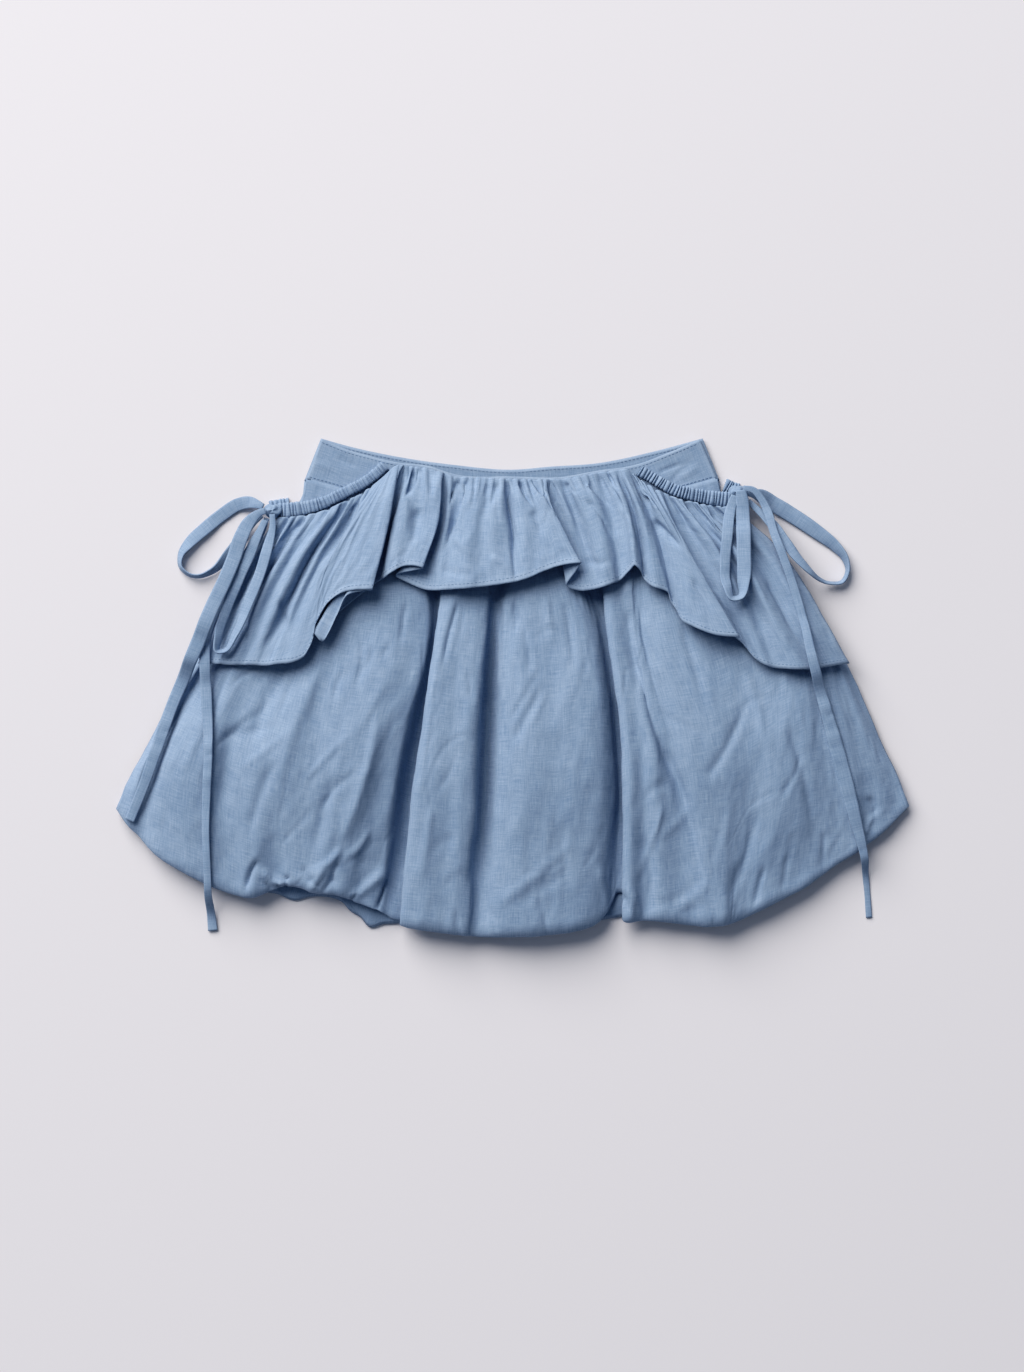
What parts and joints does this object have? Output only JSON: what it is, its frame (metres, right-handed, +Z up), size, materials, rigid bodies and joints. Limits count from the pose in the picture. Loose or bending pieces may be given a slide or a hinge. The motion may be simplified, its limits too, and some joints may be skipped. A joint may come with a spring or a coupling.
{
  "type": "elastic waist skirt",
  "caption": "Short bubble-hem skirt laid flat, with a curved waist yoke, a gathered ruffle on ruched elastic casings and a tied bow at each side.",
  "frame": {"origin": "middle of the laid-out skirt's bounding box, on the surface it lies on", "axes": "+Z up from the surface, +Y from the hem to the waist, +X to the right of a viewer looking down at the front"},
  "size_m": [0.6731, 0.4223, 0.0439],
  "materials": {
    "chambray_front": "matt, fine plain weave with a slight slub",
    "chambray_back": "matt, fine plain weave, seen in shade",
    "chambray_tie": "matt, fine plain weave, pressed flat"
  },
  "bodies": {
    "root": {"skirt_front": "chambray_front", "skirt_back": "chambray_back", "ruffle_front": "chambray_front", "ruffle_back": "chambray_back", "yoke_front": "chambray_front", "yoke_back": "chambray_back", "casing_left": "chambray_front", "casing_right": "chambray_front", "casing_back_left": "chambray_back", "casing_back_right": "chambray_back", "tie_left_side_loop": "chambray_tie", "tie_left_hanging_tail": "chambray_tie", "tie_left_hanging_loop": "chambray_tie", "tie_left_outer_tail": "chambray_tie", "tie_right_side_loop": "chambray_tie", "tie_right_hanging_loop": "chambray_tie", "tie_right_tail": "chambray_tie", "knot_left": "chambray_tie", "knot_right": "chambray_tie"}
  },
  "joints": []
}
